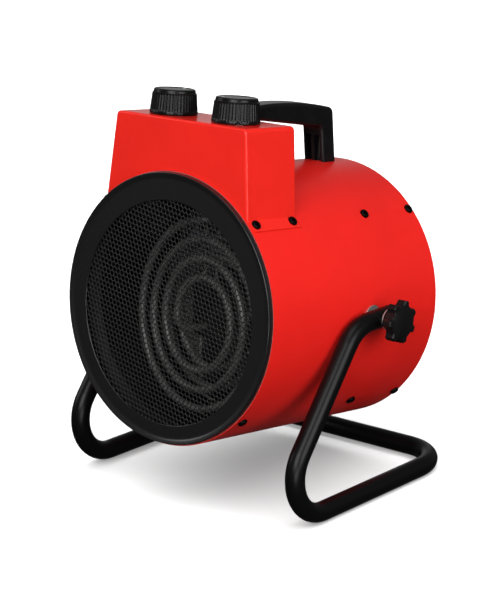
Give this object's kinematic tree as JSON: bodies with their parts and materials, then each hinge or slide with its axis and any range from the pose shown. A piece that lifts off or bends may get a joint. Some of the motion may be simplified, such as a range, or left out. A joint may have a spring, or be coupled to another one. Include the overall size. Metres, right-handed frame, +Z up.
{
  "type": "forced air heater",
  "caption": "Round forced air heater: painted drum with net front and spiral elements, control box with two dials, carry handle, bent tube tilting stand.",
  "frame": {"origin": "on the floor under the middle of the heater's outer size", "axes": "+Z up, -Y towards the front net where the warm air leaves, +X to the heater's left hand side (the right side seen from the front)"},
  "size_m": [0.2874, 0.2364, 0.3328],
  "materials": {
    "red_paint": "semi-gloss powder paint",
    "black_paint": "satin powder paint",
    "net_black": "satin black paint",
    "galvanised_sheet": "galvanised",
    "element_steel": "heat-tinted drawn tube",
    "black_steel": "black zinc plate",
    "lead_sheath": "woven glass sleeve",
    "boot_rubber": "silicone",
    "bead_ceramic": "fired",
    "cutout_resin": "moulded thermoset",
    "zinc_steel": "bright zinc plate",
    "black_plastic": "fine moulded grain",
    "white_plastic": "smooth moulded",
    "motor_paint": "grey enamel",
    "fan_aluminium": "pressed sheet",
    "bush_bronze": "sintered",
    "lamination_steel": "stacked sheet edges",
    "switch_brown": "moulded thermoset"
  },
  "bodies": {
    "stand": {"stand_tube": "black_paint", "tube_end_plugs": "black_plastic", "pivot_washers": "zinc_steel"},
    "fan": {"fan": "fan_aluminium", "fan_nut": "zinc_steel", "motor_shaft": "zinc_steel", "motor_rotor": "lamination_steel"},
    "switch_dial": {"switch_knob": "black_plastic", "switch_pointer": "white_plastic", "switch_spindle": "zinc_steel"},
    "thermostat_dial": {"thermostat_knob": "black_plastic", "thermostat_pointer": "white_plastic", "thermostat_spindle": "zinc_steel"},
    "right_tilt_clamp": {"right_tilt_knob": "black_plastic", "right_tilt_stud": "zinc_steel"},
    "left_tilt_clamp": {"left_tilt_knob": "black_plastic", "left_tilt_stud": "zinc_steel"},
    "heater": {"cable_gland": "black_plastic", "carry_handle": "black_plastic", "control_box": "red_paint", "control_box_screws": "black_steel", "cutout_screws": "zinc_steel", "drum_shell": "red_paint", "duct_beads": "bead_ceramic", "element_boots": "boot_rubber", "element_nuts": "zinc_steel", "element_support": "galvanised_sheet", "front_element": "element_steel", "front_net": "net_black", "front_ring": "black_paint", "front_ring_screws": "black_steel", "gland_lock_nut": "black_plastic", "gland_nut": "black_plastic", "handle_screws": "zinc_steel", "heat_duct": "galvanised_sheet", "lead_sleeves": "zinc_steel", "leads": "lead_sheath", "motor_bracket": "galvanised_sheet", "motor_bracket_screws": "black_steel", "motor_bushes": "bush_bronze", "motor_case": "motor_paint", "motor_end_cap": "motor_paint", "motor_stator": "lamination_steel", "pivot_nut_plates": "zinc_steel", "rear_element": "element_steel", "rear_grille": "black_paint", "rear_grille_screws": "black_steel", "switch": "switch_brown", "switch_nut": "zinc_steel", "terminal_block": "white_plastic", "terminal_screws": "zinc_steel", "thermal_cutout": "cutout_resin", "thermostat": "zinc_steel", "thermostat_nut": "zinc_steel"}
  },
  "joints": [
    {"name": "drum_tilt", "type": "hinge", "parent": "stand", "child": "heater", "pos_m": [0, 0.01994, 0.1496], "axis": [-1, 0, 0], "range_deg": [-17, 83]},
    {"name": "fan_spin", "type": "hinge", "parent": "heater", "child": "fan", "pos_m": [0, 0.01994, 0.1496], "axis": [0, 0.9925, -0.1219], "continuous": true},
    {"name": "switch_turn", "type": "hinge", "parent": "heater", "child": "switch_dial", "pos_m": [-0.03105, -0.05436, 0.31992], "axis": [0, -0.1219, -0.9925], "range_deg": [0, 270]},
    {"name": "thermostat_turn", "type": "hinge", "parent": "heater", "child": "thermostat_dial", "pos_m": [0.03545, -0.05436, 0.31992], "axis": [0, -0.1219, -0.9925], "range_deg": [-50, 230]},
    {"name": "right_clamp_turn", "type": "hinge", "parent": "heater", "child": "right_tilt_clamp", "pos_m": [0.13, 0.01994, 0.1496], "axis": [1, 0, 0], "range_deg": [0, 360]},
    {"name": "left_clamp_turn", "type": "hinge", "parent": "heater", "child": "left_tilt_clamp", "pos_m": [-0.13, 0.01994, 0.1496], "axis": [-1, 0, 0], "range_deg": [0, 360]}
  ]
}
